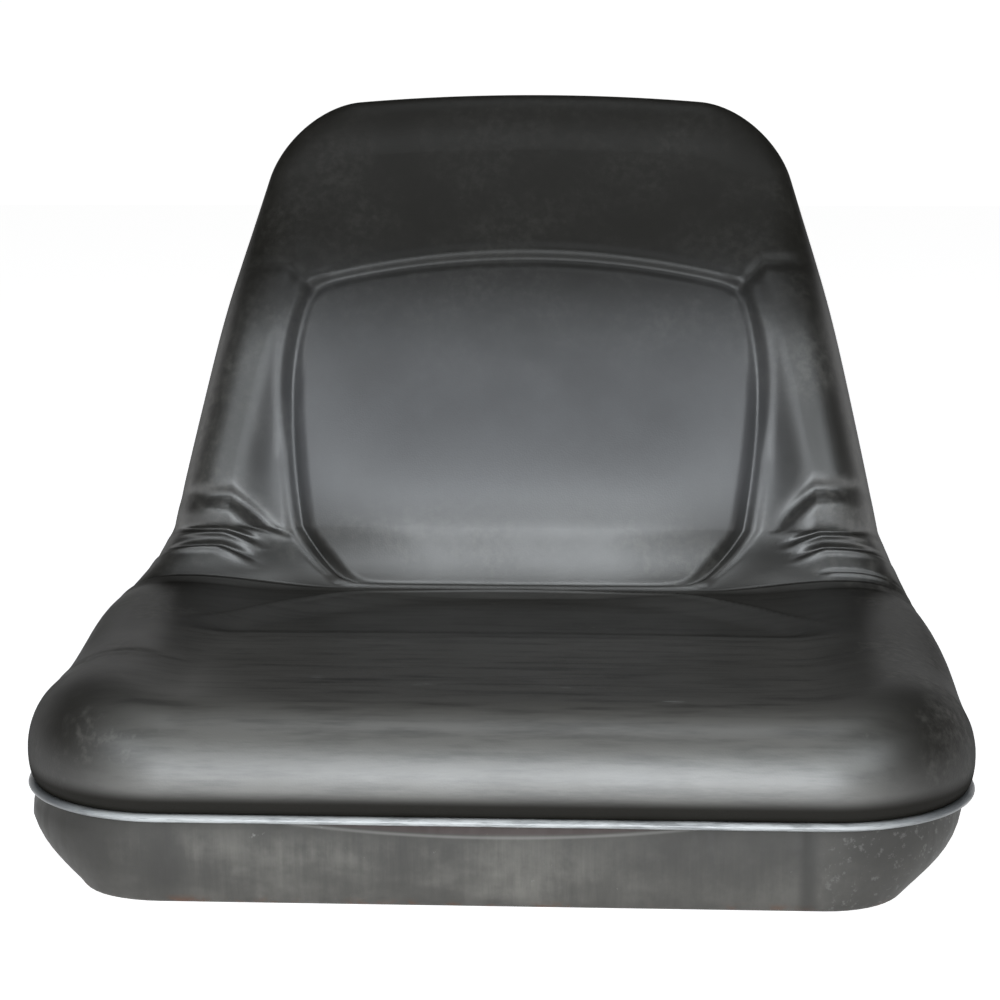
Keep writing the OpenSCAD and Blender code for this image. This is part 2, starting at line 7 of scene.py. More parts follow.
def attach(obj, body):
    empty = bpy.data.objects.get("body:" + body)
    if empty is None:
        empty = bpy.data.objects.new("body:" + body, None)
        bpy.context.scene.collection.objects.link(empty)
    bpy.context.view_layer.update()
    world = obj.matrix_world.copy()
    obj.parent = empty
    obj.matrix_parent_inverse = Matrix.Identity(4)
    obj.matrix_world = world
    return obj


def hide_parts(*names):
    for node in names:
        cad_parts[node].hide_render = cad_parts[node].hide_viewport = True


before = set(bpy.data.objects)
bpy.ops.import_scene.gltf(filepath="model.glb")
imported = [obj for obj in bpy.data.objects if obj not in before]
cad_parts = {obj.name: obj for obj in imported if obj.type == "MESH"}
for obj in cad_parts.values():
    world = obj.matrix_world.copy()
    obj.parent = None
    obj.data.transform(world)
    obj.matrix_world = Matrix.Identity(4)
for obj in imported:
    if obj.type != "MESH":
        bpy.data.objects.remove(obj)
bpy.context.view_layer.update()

MM = 0.001

# ---------------------------------------------------------------- the part's own sizes, in mm, as in its source
LIP_HALF, REAR_SPREAD, FRONT_CORNER, TOP_CORNER = 249, 8, 80, 44
FLOOR_LEN, BEND_R, BEND_DEG, BACK_LEN = 305, 147, 79, 274
BEND_TAPER, HEAD_TAPER, TOP_CROWN = 0.205, 0.095, 9
SPREAD_TO, TAPER_FROM, HEAD_TAPER_FROM, TAPER_BLEND = 310, 348, 650, 40
LIP_FRONT, LIP_BEND, LIP_TOP = 48, 57, 29
SHEET, FLANGE_W = 1.5, 3.4
SIDE_LEAN, SIDE_LEAN_TOP, FRONT_LEAN = 38, 22, 9
WALL_OUT, WALL_IN, WALL_HIGH, WALL_LOW = 0.015, 0.41, 0.43, 0.26
RIB_DEPTH, RIB_W = 4, 16
BOLT_X, BOLT_Y, BOLT_FROM_FRONT = 286, 203, 146
HOLE_R, DRAIN_R, DRAIN_BACK = 5.6, 6, 30
FRONT_PAD, SEAT_PAD, BACK_PAD, HEAD_PAD = 54, 50, 46, 23
EDGE_FRONT, EDGE_SEAT, EDGE_BACK, EDGE_TOP, EDGE_FLAT = 42, 48, 33, 34, 2.7
BULGE, BULGE_H, CLEARANCE = 2.5, 17, 0.3
BOLSTER_SEAT, BOLSTER_BACK, DISH_DEPTH = 5, 8, 4
PANEL_SWELL, LUMBAR_FILL, GROOVE_DEPTH, RIDGE_H, LOW_RIDGE_H, HEAD_SWELL = 11, 9, 2.4, 1.4, 1.4, 2
SIDE_RISE, SIDE_SLOPE, SIDE_SHARE, LOW_RISE, TOP_RISE = 10, 72, 0.5, 142, 150
FILL_BESIDE, EVEN_H, EVEN_FROM, EVEN_TO = 0.5, 4.0, 372, 510
TRIM_T, TRIM_LEG, LOWER_LEG, BEAD = 1.2, 4, 2.2, 2.6
PANEL_BOTTOM, PANEL_TOP, PANEL_ARCH, PANEL_WIDE_AT = 377, 680, 16, 597
PANEL_HALF, PANEL_CORNER, PANEL_NARROWING = 148, 138, 42
CREASE_DEPTH, ARC_RIDGE = 1.5, 1.3
CREASE_AT, CREASE_BOW, ARC_AT, ARC_BOW, ARC_HALF = 189, 5, 340, 120, 178

BEND_LEN = BEND_R * np.radians(BEND_DEG)
TOTAL_LEN = FLOOR_LEN + BEND_LEN + BACK_LEN
LIP_FALL_FROM = FLOOR_LEN + BEND_LEN * 0.35


def soft(t):
    return (t + np.sqrt(t * t + TAPER_BLEND**2)) / 2


def smooth(a, b, v):
    t = np.clip((v - a) / (b - a), 0, 1)
    return t * t * (3 - 2 * t)


def mix(a, b, t):
    return a + (b - a) * t


def bell(v, w):
    return np.exp(-((v / w) ** 2))


def half_w(s):
    return (LIP_HALF + REAR_SPREAD * smooth(FRONT_CORNER, SPREAD_TO, s)
            - BEND_TAPER * soft(s - TAPER_FROM) - HEAD_TAPER * soft(s - HEAD_TAPER_FROM))


def lip_h(s):
    rising = mix(LIP_FRONT, LIP_BEND, np.maximum(s, 0) / FLOOR_LEN)
    falling = mix(LIP_BEND, LIP_TOP, np.clip((s - LIP_FALL_FROM) / (TOTAL_LEN - LIP_FALL_FROM), 0, 1))
    return np.where(s < FLOOR_LEN, rising, falling)


def place(x, s, h):
    """The point at x, s and h of the unrolled underside, in the seat's own frame, in mm."""
    c = s + TOP_CROWN * (1 - (x / half_w(TOTAL_LEN)) ** 2) * smooth(HEAD_TAPER_FROM, TOTAL_LEN, s)
    turn = np.radians(BEND_DEG) * np.clip((c - FLOOR_LEN) / BEND_LEN, 0, 1)
    flat = np.minimum(c, FLOOR_LEN)
    up = np.maximum(c - FLOOR_LEN - BEND_LEN, 0)
    end = np.radians(BEND_DEG)
    y = flat + BEND_R * np.sin(turn) + up * np.cos(end) - h * np.sin(turn)
    z = BEND_R * (1 - np.cos(turn)) + up * np.sin(end) + h * np.cos(turn)
    return np.stack([x + 0 * y, y - BOLT_FROM_FRONT, z], -1)


def edge_w(s):
    seat = mix(EDGE_FRONT, EDGE_SEAT, smooth(0, 200, s))
    back = mix(EDGE_BACK, EDGE_TOP, smooth(690, 780, s))
    return mix(seat, back, smooth(400, 570, s))


# ---------------------------------------------------------------- the relief of the cushion's face
def panel_w(s):
    below = PANEL_HALF - PANEL_NARROWING * (np.maximum(PANEL_WIDE_AT - s, 0)
                                            / (PANEL_WIDE_AT - PANEL_BOTTOM)) ** 1.7
    above = PANEL_HALF - (PANEL_HALF - PANEL_CORNER) * ((s - PANEL_WIDE_AT)
                                                        / (PANEL_TOP - PANEL_ARCH - PANEL_WIDE_AT)) ** 2
    return np.where(s < PANEL_WIDE_AT, below, above)


def panel_edges(x, s):
    """Distances inwards from the panel's sides, its bottom and its top."""
    return (panel_w(np.maximum(s, PANEL_BOTTOM)) - np.abs(x), s - PANEL_BOTTOM,
            PANEL_TOP - PANEL_ARCH * (x / PANEL_CORNER) ** 2 - s)


def crown(d, reach):
    t = np.clip(d / reach, 0, 1)
    return t * (2 - t)


def swell(x, s):
    side, low, top = panel_edges(x, s)
    across = (1 - SIDE_SHARE) * crown(side, SIDE_RISE) + SIDE_SHARE * crown(side, SIDE_SLOPE)
    fill = LUMBAR_FILL * (1 - smooth(150, 300, low)) * mix(FILL_BESIDE, 1, crown(side, SIDE_SLOPE))
    return (PANEL_SWELL * across + fill) * crown(low, LOW_RISE) * crown(top, TOP_RISE)


def evening(s):
    """Evens out the face's slope where the bend ends: lower at the panel's bottom, higher over the bend's end."""
    rise = EVEN_H * (2 * np.clip((s - EVEN_FROM) / (EVEN_TO - EVEN_FROM), 0, 1) - 1)
    return rise * smooth(EVEN_FROM - 24, EVEN_FROM, s) * smooth(EVEN_TO + 130, EVEN_TO, s)


def soft_min(a, b, k):
    return (a + b - np.sqrt((a - b) ** 2 + k * k)) / 2


def groove(side, low, top):
    d = soft_min(soft_min(side, low, 15), top, 7)
    at_bottom = smooth(26, 4, low)
    return (-GROOVE_DEPTH * bell(d, 3.4)
            + (RIDGE_H + LOW_RIDGE_H * at_bottom) * bell(d + 7, 3.6 + 1.4 * at_bottom))


def dish(x, s):
    from_crease = s - CREASE_AT + CREASE_BOW * (x / 200) ** 2
    to_arc = ARC_AT - ARC_BOW * (x / ARC_HALF) ** 2 - s
    hollow = DISH_DEPTH * smooth(0, 26, from_crease) * smooth(-4, 40, to_arc)
    lines = ARC_RIDGE * bell(to_arc + 2, 3.5) - CREASE_DEPTH * bell(from_crease, 3.0)
    inside = smooth(half_w(s) - edge_w(s), 150, np.abs(x))
    return (lines - hollow) * inside


def valley_w(s):
    low = mix(160, panel_w(np.full_like(s, PANEL_BOTTOM)) + 6, smooth(240, PANEL_BOTTOM, s))
    return np.where(s < PANEL_BOTTOM, low, panel_w(s) + 6)


def bolster(x, s):
    rise = BOLSTER_SEAT + BOLSTER_BACK * smooth(300, 430, s) - (BOLSTER_SEAT + BOLSTER_BACK) * smooth(630, 720, s)
    inner = half_w(s) - edge_w(s)
    return rise * smooth(np.minimum(valley_w(s), inner - 30), inner + 1, np.abs(x))


def crease_line(x, s, a, b, bow, w):
    """1 along a line from a to b that arches up by bow, falling off over w to its sides and at its ends."""
    a, b = np.array(a, float), np.array(b, float)
    run = b - a
    t = ((x - a[0]) * run[0] + (s - a[1]) * run[1]) / (run @ run)
    up = ((s - a[1]) * abs(run[0]) - (x - a[0]) * run[1] * np.sign(run[0])) / np.sqrt(run @ run)
    return bell(up - 4 * bow * t * (1 - t), w) * smooth(-0.25, 0.2, t) * smooth(1.25, 0.7, t)


# Each wrinkle at the bend: its outer and inner end, how far it arches, its width and depth
WRINKLES = [((-214, 540), (-154, 498), 6, 4.8, 3.6), ((-218, 520), (-168, 468), 7, 5.5, 3.9),
            ((-222, 482), (-170, 420), 7, 6.0, 3.9),
            ((218, 547), (164, 514), 6, 4.8, 3.6), ((221, 529), (170, 476), 7, 5.5, 3.9),
            ((224, 487), (176, 436), 7, 6.0, 3.9), ((226, 408), (192, 388), 2, 4.5, 1.6),
            ((-232, 119), (-180, 114), 2, 4.0, 0.9)]
WRINKLE_SHARE = 1.25
# The creases that run out from the panel's upper corners
CORNER_CREASES = [((-136, 660), (-160, 684), 0, 4.5, 1.6), ((136, 662), (168, 698), 0, 4.5, 3.0)]


def wrinkles(x, s):
    total = 0
    for a, b, bow, w, depth in WRINKLES:
        fold = crease_line(x, s, a, b, bow, w)
        roll = crease_line(x, s + 1.6 * w, a, b, bow, 1.3 * w)
        total = total + WRINKLE_SHARE * depth * (0.6 * roll - fold)
    for a, b, bow, w, depth in CORNER_CREASES:
        total = total - depth * crease_line(x, s, a, b, bow, w)
    return total


def pad(x, s):
    seat = mix(FRONT_PAD, SEAT_PAD, smooth(60, 180, s))
    back = mix(BACK_PAD, HEAD_PAD, smooth(610, 776, s))
    side, low, top = panel_edges(x, s)
    return (mix(seat, back, smooth(260, 360, s)) + HEAD_SWELL * smooth(684, 772, s)
            + swell(x, s) + evening(s) + groove(side, low, top)
            + dish(x, s) + bolster(x, s) + wrinkles(x, s))


# ---------------------------------------------------------------- grids over the unrolled seat
def spread(*parts):
    """Positions along a line: each part is (end, spacing), and the first is the start alone."""
    out = [parts[0]]
    for end, spacing in parts[1:]:
        n = max(1, int(round((end - out[-1]) / spacing)))
        out += list(np.linspace(out[-1], end, n + 1)[1:])
    return np.array(out, float)


class Lip:
    """The lip's outline as stations, and grids that fill it. Rows run across the seat, columns along it."""

    def __init__(self, sides, columns, front_x, top_x, corner_steps, top_steps, row_steps, top_row_steps):
        # sides: where the rows meet the sides; columns: number on each half, with the corner's ones last
        self.C, self.front_x, self.top_x = columns, front_x, top_x
        angles = np.linspace(45, 0, row_steps + 1)[:-1]
        top_angles = np.linspace(0, 45, top_row_steps + 1)[1:]
        self.R = len(angles) + len(sides) + len(top_angles)
        front = [self.corner(-1, a) for a in angles]
        side = [(half_w(s), s, 1.0, 0.0, 0.0) for s in sides]
        top = [self.corner(1, a) for a in top_angles]
        self.right = np.array(front + side + top)
        self.front_row = self.end(-1, corner_steps, front_x)
        self.top_row = self.end(1, top_steps, top_x)
        left = self.right * [-1, 1, -1, 1, 1]
        self.loop = np.concatenate([self.front_row, self.right[1:], self.top_row[::-1][1:], left[::-1][1:-1]])
        self.N = len(self.loop)
        W, R = 2 * columns + 1, self.R
        self.W = W
        self.rim = np.concatenate([np.arange(W), np.arange(1, R) * W + W - 1,
                                   (R - 1) * W + np.arange(W - 2, -1, -1), np.arange(R - 2, 0, -1) * W])

    @staticmethod
    def corner(way, angle):
        r = FRONT_CORNER if way < 0 else TOP_CORNER
        a = np.radians(angle)
        s = r - r * np.sin(a) if way < 0 else TOTAL_LEN - r + r * np.sin(a)
        base = half_w(0.0 if way < 0 else s) - r
        return (base + r * np.cos(a), s, np.cos(a), way * np.sin(a), np.sin(a) ** 2)

    def end(self, way, steps, straight_x):
        r = FRONT_CORNER if way < 0 else TOP_CORNER
        s = 0.0 if way < 0 else TOTAL_LEN
        straight = half_w(s) - r
        xs = straight_x / straight_x[-1] * straight
        half = [(x, s, 0.0, float(way), 1.0) for x in xs]
        half += [self.corner(way, 90 - 45 * k / steps) for k in range(1, steps + 1)]
        half = np.array(half)
        return np.concatenate([half[::-1][:-1] * [-1, 1, -1, 1, 1], half])

    def grid(self, inset, mid, bows, flats, to_front, to_top):
        """The points of the face: x and s on R rows and W columns. inset is a function of the stations."""
        def drawn_in(st):
            e = inset(st)
            return np.stack([st[:, 0] - e * st[:, 2], st[:, 1] - e * st[:, 3]], -1)
        side, front, top = drawn_in(self.right), drawn_in(self.front_row), drawn_in(self.top_row)
        n = np.arange(self.C + 1)
        front_f = front[self.C:, 0] / front[-1, 0]
        top_f = top[self.C:, 0] / top[-1, 0]
        x = np.zeros((self.R, self.W))
        s = np.zeros((self.R, self.W))
        for j in range(self.R):
            xs, ss = side[j]
            tf, tt = 1 - smooth(*to_front, ss), smooth(*to_top, ss)
            f = mid(n, ss, xs) * (1 - tf - tt) + front_f * tf + top_f * tt
            bow, flat = np.interp(self.right[j, 1], *bows), np.interp(self.right[j, 1], *flats)
            row_s = ss + bow * (1 - f**flat)
            x[j] = np.concatenate([-f[::-1][:-1], f]) * xs
            s[j] = np.concatenate([row_s[::-1][:-1], row_s])
        x[0], s[0] = front.T
        x[-1], s[-1] = top.T
        return x, s

    def grid_quads(self, start=0):
        j, i = np.meshgrid(np.arange(self.R - 1), np.arange(self.W - 1), indexing="ij")
        a = (start + j * self.W + i).ravel()
        return np.stack([a, a + 1, a + 1 + self.W, a + self.W], -1)


def wall_quads(a, b):
    """Quads between two loops of points, given as indexes."""
    return np.stack([a, b, np.roll(b, -1), np.roll(a, -1)], -1)


def add_mesh(name, points, quads, closed=True):
    me = bpy.data.meshes.new(name)
    me.from_pydata((points * MM).tolist(), [], [q for q in quads])
    bm = bmesh.new()
    bm.from_mesh(me)
    bmesh.ops.recalc_face_normals(bm, faces=bm.faces)
    bm.to_mesh(me)
    bm.free()
    me.shade_smooth()
    ob = bpy.data.objects.new(name, me)
    bpy.context.scene.collection.objects.link(ob)
    return ob


# ---------------------------------------------------------------- the cushion: foam and its moulded cover
SEAM_ZONE = 13
PANEL_COLS, SEAM_COLS, BESIDE_COLS = 40, 24, 24
FRONT_STEPS, TOP_STEPS = 14, 14


def cushion_columns():
    n = PANEL_COLS + SEAM_COLS + BESIDE_COLS
    steps = FRONT_STEPS
    front = np.interp(np.arange(n - steps + 1), [0, PANEL_COLS, PANEL_COLS + SEAM_COLS, n - steps], [0, 110, 146, 170])
    top = np.interp(np.arange(n - TOP_STEPS + 1), [0, PANEL_COLS, PANEL_COLS + SEAM_COLS, n - TOP_STEPS],
                    [0, 60, 84, 97])
    return n, front, top


def cushion_mid(n, s, x_side):
    rim = panel_w(np.clip(s, PANEL_BOTTOM, PANEL_TOP - PANEL_ARCH))
    high = min((rim + SEAM_ZONE) / x_side, 0.965)
    low = (rim - SEAM_ZONE) / x_side
    return np.interp(n, [0, PANEL_COLS, PANEL_COLS + SEAM_COLS, PANEL_COLS + SEAM_COLS + BESIDE_COLS],
                     [0, low, high, 1])


def cushion_grid():
    cols, front, top = cushion_columns()
    sides = spread(FRONT_CORNER, (172, 2.9), (202, 1.9), (345, 2.6), (380, 1.15), (405, 1.6), (548, 2.2),
                   (649, 2.9), (680, 1.15), (TOTAL_LEN - TOP_CORNER, 2.4))
    lip = Lip(sides, cols, front, top, FRONT_STEPS, TOP_STEPS, 15, 10)
    bows = ([23, 80, 500, 600, 640, 680, 706, 738, TOTAL_LEN - TOP_CORNER * 0.293],
            [-10, 0, 0, 10, 22, 22, 15, 7, 3])
    flats = ([23, 56, 80, 500, 640, 706, 738, 769], [8, 3, 2, 2, 2, 2, 3, 8])
    x, s = lip.grid(lambda st: edge_w(st[:, 1]), cushion_mid, bows, flats, (60, 330), (680, 740))
    return lip, x, s


def at_station(st, e, h, follow=False):
    """A ring e inwards from the lip and h over it. With follow, over the lip's height beside each point."""
    s = st[:, 1] - e * st[:, 3]
    return place(st[:, 0] - e * st[:, 2], s, lip_h(s if follow else st[:, 1]) + h)


# How far the cushion's left and right shoulder stand further to the left than the lip, where, and over what length
SHOULDER_LEFT, SHOULDER_RIGHT, SHOULDER_AT, SHOULDER_LEN = 3.0, 6.5, 325, 95


# How much rounder the cushion's edge is at the seat's sides, where, and over what length
SIDE_ROUNDER, SIDE_ROUNDER_AT, SIDE_ROUNDER_LEN = 0.5, 150, 120
# How far the pan's front left corner is bent out below the lip
BENT_OUT = 6.0


def bend_corner(points):
    """Bends out the pan's front left corner below its lip. The points are in mm in the seat's frame."""
    x, y, z = points.T
    out = smooth(-150, -205, x) * smooth(60, -60, y) * smooth(LIP_FRONT - 2, LIP_FRONT - 13, z)
    return points - np.stack([BENT_OUT * out, 0 * out, 0 * out], -1)


def lean_left(points, x, s, high):
    """Moves points of the cushion sideways at its shoulders. high is 0 at the lip and 1 from the widest line up."""
    side = np.where(x < 0, SHOULDER_LEFT, SHOULDER_RIGHT)
    out = smooth(90, 230, np.abs(x)) * bell(s - SHOULDER_AT, SHOULDER_LEN) * high
    points[:, 0] -= side * out
    return points


def make_cushion():
    lip, x, s = cushion_grid()
    face_pad = pad(x, s)
    face = lean_left(place(x, s, lip_h(s) + face_pad).reshape(-1, 3), x.ravel(), s.ravel(), 1.0)
    st = lip.loop
    rim_pad = face_pad.ravel()[lip.rim]
    m = edge_w(st[:, 1])
    flat = EDGE_FLAT - SIDE_ROUNDER * np.abs(st[:, 2]) * bell(st[:, 1] - SIDE_ROUNDER_AT, SIDE_ROUNDER_LEN)
    rings = []
    for a in np.radians(np.linspace(90, 0, 19)[1:]):
        inset = m - (m + BULGE) * np.cos(a) ** (2 / flat)
        ring = at_station(st, inset, BULGE_H + (rim_pad - BULGE_H) * np.sin(a), True)
        rings.append(lean_left(ring, st[:, 0], st[:, 1], 1.0))
    for a in np.radians(np.linspace(0, 90, 10)[1:]):
        ring = at_station(st, TRIM_LEG / 2 - (TRIM_LEG / 2 + BULGE) * np.cos(a),
                          TRIM_T + (BULGE_H - TRIM_T) * (1 - np.sin(a)))
        rings.append(lean_left(ring, st[:, 0], st[:, 1], 1 - np.sin(a)))
    # The underside lies just inside the shell's walls and stands clear of the plates and nuts
    rings.append(at_station(st, np.full(lip.N, TRIM_LEG + 2 * CLEARANCE), CLEARANCE))
    rings.append(at_station(st, np.full(lip.N, FLANGE_W + SHEET + CLEARANCE), CLEARANCE))
    for t in (0.25, 0.5, 0.7):
        e, h = wall_point(st, t, SHEET + 2.5 * CLEARANCE)
        rings.append(shell_point(st, e, np.maximum(h, 12.5)))
    points = np.concatenate([face] + rings)
    quads = [lip.grid_quads()]
    loops = [lip.rim] + [lip.R * lip.W + k * lip.N + np.arange(lip.N) for k in range(len(rings))]
    for a, b in zip(loops, loops[1:]):
        quads.append(wall_quads(a, b))
    faces = [tuple(int(v) for v in q) for q in np.concatenate(quads)]
    faces += floor_strips(lip, loops[-1])
    return add_mesh("cushion", points, faces)


def floor_strips(lip, loop):
    """Faces across a flat bottom, from the left side to the right, row by row."""
    right = [int(loop[lip.W - 1 + j]) for j in range(lip.R)]
    left = [int(loop[(lip.N - j) % lip.N]) for j in range(lip.R)]
    front = [int(loop[i]) for i in range(lip.W)]
    top = [int(loop[lip.W + lip.R - 2 + i]) for i in range(lip.W)]
    strips = [tuple(front + [right[1], left[1]])]
    strips += [(left[j], right[j], right[j + 1], left[j + 1]) for j in range(1, lip.R - 2)]
    strips.append(tuple(top + [left[lip.R - 2], right[lip.R - 2]]))
    return strips


# ---------------------------------------------------------------- the pressed steel shell
def lean(st):
    side = mix(SIDE_LEAN, SIDE_LEAN_TOP, smooth(FLOOR_LEN, TOTAL_LEN, st[:, 1]))
    ends = np.where(st[:, 1] < FLOOR_LEN, FRONT_LEAN, SIDE_LEAN_TOP)
    return mix(side, ends, st[:, 4])


def wall_point(st, t, inward=0.0):
    """Inset and height of the wall's outside, from the flange at t = 0 to the floor at t = 1, or inward of it."""
    high = lip_h(st[:, 1]) - SHEET
    run = lean(st) - FLANGE_W
    e = [FLANGE_W + 0 * run, FLANGE_W + run * WALL_OUT, FLANGE_W + run * WALL_IN, FLANGE_W + run]
    h = [high, high * WALL_HIGH, high * WALL_LOW, 0 * high]
    weights = [(1 - t) ** 3, 3 * t * (1 - t) ** 2, 3 * t * t * (1 - t), t**3]
    slopes = [-3 * (1 - t) ** 2, 3 * (1 - t) * (1 - 3 * t), 3 * t * (2 - 3 * t), 3 * t * t]
    at_e, at_h = (sum(w * p for w, p in zip(weights, v)) for v in (e, h))
    de, dh = (sum(w * p for w, p in zip(slopes, v)) for v in (e, h))
    size = np.hypot(de, dh)
    return at_e - inward * dh / size, at_h + inward * de / size


def shell_point(st, e, h):
    e = e + np.zeros(len(st))
    h = h + np.zeros(len(st))
    return place(st[:, 0] - e * st[:, 2], st[:, 1] - e * st[:, 3], h)


def rounded(corners, radii, steps):
    """A section through corners, each one rounded with its radius. Corners and radii are arrays per station."""
    out = [corners[0]]
    for k in range(1, len(corners) - 1):
        p, a, b = corners[k], corners[k - 1], corners[k + 1]
        ua = (a - p) / np.linalg.norm(a - p, axis=-1, keepdims=True)
        ub = (b - p) / np.linalg.norm(b - p, axis=-1, keepdims=True)
        half = np.arccos(np.clip((ua * ub).sum(-1, keepdims=True), -1, 1)) / 2
        cut = radii[k] / np.tan(half)
        p0, p1 = p + ua * cut, p + ub * cut
        for t in np.linspace(0, 1, steps[k] + 1):
            out.append((1 - t) ** 2 * p0 + 2 * t * (1 - t) * p + t * t * p1)
    out.append(corners[-1])
    return out


RIBS = [(x, BOLT_FROM_FRONT, 190) for x in (-62, 62)] + [(x, TOTAL_LEN - 150, 170) for x in (-70, 0, 70)]


def rib_rise(x, s):
    rise = np.zeros_like(x)
    for rx, rs, length in RIBS:
        along = np.maximum(np.abs(s - rs) - (length - RIB_W) / 2, 0)
        d = np.hypot(x - rx, along) - RIB_W / 2
        rise = np.maximum(rise, RIB_DEPTH * smooth(1.6, -2.4, d))
    return rise


FOOT_IN = 12
WALL_STEPS = (0.12, 0.22, 0.32, 0.42, 0.51, 0.6, 0.68, 0.76)


def shell_grid():
    xs = spread(0, (11, 1.6), (50, 5.5), (82, 1.6), (165, 7), (170, 5))
    steps = 9
    cols = len(xs) - 1 + steps
    sides = spread(FRONT_CORNER, (228, 6), (250, 1.7), (FLOOR_LEN, 6), (FLOOR_LEN + BEND_LEN, 4.5),
                   (538, 6), (558, 1.6), (704, 6), (722, 1.6), (TOTAL_LEN - TOP_CORNER, 2.2))
    top_half = half_w(TOTAL_LEN) - TOP_CORNER
    top_x = xs * np.interp(xs, [0, 84, 170], [1, 1, top_half / 170])
    lip = Lip(sides, cols, xs, top_x, steps, steps, 16, 8)

    def mid(n, s, x_side):
        outer = np.linspace(82, x_side, cols - len(xs[xs <= 82.01]) + 2)[1:]
        return np.concatenate([xs[xs <= 82.01], outer])[: cols + 1] / x_side
    bows = ([23, 80, 706, 738, 769], [-8, 0, 0, 4, 2.5])
    flats = ([23, 80, 706, 738, 769], [6, 2, 2, 3, 6])
    x, s = lip.grid(lambda st: lean(st) + FOOT_IN, mid, bows, flats, (18, 44), (728, 752))
    return lip, x, s


def make_shell():
    lip, x, s = shell_grid()
    st = lip.loop
    n = lip.N
    col = lambda e, h: np.stack([e + np.zeros(n), h + np.zeros(n)], -1)
    lip_low = lip_h(st[:, 1]) - SHEET
    wall = [np.stack(wall_point(st, k), -1) for k in WALL_STEPS]
    corners = [col(0.4, lip_low), col(FLANGE_W, lip_low)] + wall + [col(lean(st), 0), col(lean(st) + FOOT_IN, 0)]
    plain = [0] * len(wall)
    section = rounded(corners, [0, 1.2] + plain + [5, 0], [0, 4] + plain + [5, 0])
    rings = [shell_point(st, p[:, 0], p[:, 1]) for p in section[:-1]]
    floor_pts = place(x, s, rib_rise(x, s)).reshape(-1, 3)
    points = bend_corner(np.concatenate([floor_pts] + rings))
    loops = [lip.rim] + [lip.R * lip.W + k * n + np.arange(n) for k in range(len(rings) - 1, -1, -1)]
    quads = [lip.grid_quads()] + [wall_quads(a, b) for a, b in zip(loops, loops[1:])]
    faces = [tuple(int(v) for v in q) for q in np.concatenate(quads)]
    sheet = add_mesh("shell", points, faces)
    centre_up = Vector((0, 0, 1))
    # The sheet's faces look outwards, so that its thickness grows inwards
    me = sheet.data
    low = min(me.polygons, key=lambda p: p.center.z + abs(p.center.x) + abs(p.center.y))
    if low.normal.dot(centre_up) > 0:
        me.flip_normals()
    solid = sheet.modifiers.new("thickness", "SOLIDIFY")
    solid.thickness = SHEET * MM
    solid.offset = -1
    solid.use_even_offset = False
    cutters = [hole_cutter(sx * BOLT_X / 2, sy * BOLT_Y / 2, HOLE_R) for sx in (-1, 1) for sy in (-1, 1)]
    cutters.append(hole_cutter(0, FLOOR_LEN - BOLT_FROM_FRONT - DRAIN_BACK, DRAIN_R))
    for c in cutters:
        cut = sheet.modifiers.new("hole", "BOOLEAN")
        cut.operation, cut.solver, cut.object = "DIFFERENCE", "EXACT", c
    bake(sheet)
    for c in cutters:
        bpy.data.objects.remove(c)
    return sheet


def hole_cutter(x, y, r):
    me = bpy.data.meshes.new("cutter")
    bm = bmesh.new()
    bmesh.ops.create_cone(bm, cap_ends=True, segments=48, radius1=r * MM, radius2=r * MM, depth=10 * MM,
                          matrix=Matrix.Translation((x * MM, y * MM, 0)))
    bm.to_mesh(me)
    bm.free()
    ob = bpy.data.objects.new("cutter", me)
    bpy.context.scene.collection.objects.link(ob)
    return ob


def bake(ob):
    """Replaces an object's mesh by the result of its modifiers."""
    bpy.context.view_layer.update()
    done = bpy.data.meshes.new_from_object(ob.evaluated_get(bpy.context.evaluated_depsgraph_get()))
    ob.modifiers.clear()
    ob.data = done


# ---------------------------------------------------------------- the bead round the lip
def make_bead(lip):
    st = lip.loop
    outer = []
    top_h, low_h, reach = TRIM_T, -SHEET - TRIM_T, BEAD
    centre_h = (top_h + low_h) / 2
    outer.append((TRIM_LEG, top_h))
    for a in np.radians(np.linspace(90, 270, 15)):
        outer.append((np.cos(a) * reach, centre_h + (top_h - low_h) / 2 * np.sin(a)))
    outer.append((LOWER_LEG, low_h))
    outer += [(LOWER_LEG, -SHEET - 0.05), (0.05, -SHEET - 0.05), (0.05, 0.05), (TRIM_LEG, 0.05)]
    section = [(e, h) for e, h in outer]
    points = np.concatenate([at_station(st, np.full(lip.N, e), h) for e, h in section])
    loops = [k * lip.N + np.arange(lip.N) for k in range(len(section))]
    quads = np.concatenate([wall_quads(loops[k], loops[(k + 1) % len(loops)]) for k in range(len(loops))])
    return add_mesh("edge_bead", points, [tuple(int(v) for v in q) for q in quads])


# ---------------------------------------------------------------- materials
# The vinyl's linear colours: dark, dusty, and a bluish painted sheen for the middle of the back
VINYL_DARK, VINYL_DUSTY, VINYL_PAINTED_SHEEN = (0.012, 0.011, 0.009), (0.092, 0.088, 0.079), (0.082, 0.083, 0.088)
# Heights in mm: where the back's painted sheen begins, and where the head roll starts to lose its dust and sheen, which
# paints shade on it
BACK_SHEEN_FROM, HEAD_DARKER_FROM, HEAD_DARKER_AT = 130, 200, 325
# The dull dark line over the bead, a painted shade in the gap under the cushion's roll: its upper edge over the lip,
# and how softly it ends
CREVICE_SHADE_H, CREVICE_SHADE_FADE = 16.0, 8.5
VINYL_ROUGH, VINYL_COAT, VINYL_COAT_ROUGH = 0.47, 0.5, 0.4
STEEL_DARK, STEEL_DUSTY = (0.030, 0.028, 0.025), (0.18, 0.17, 0.153)


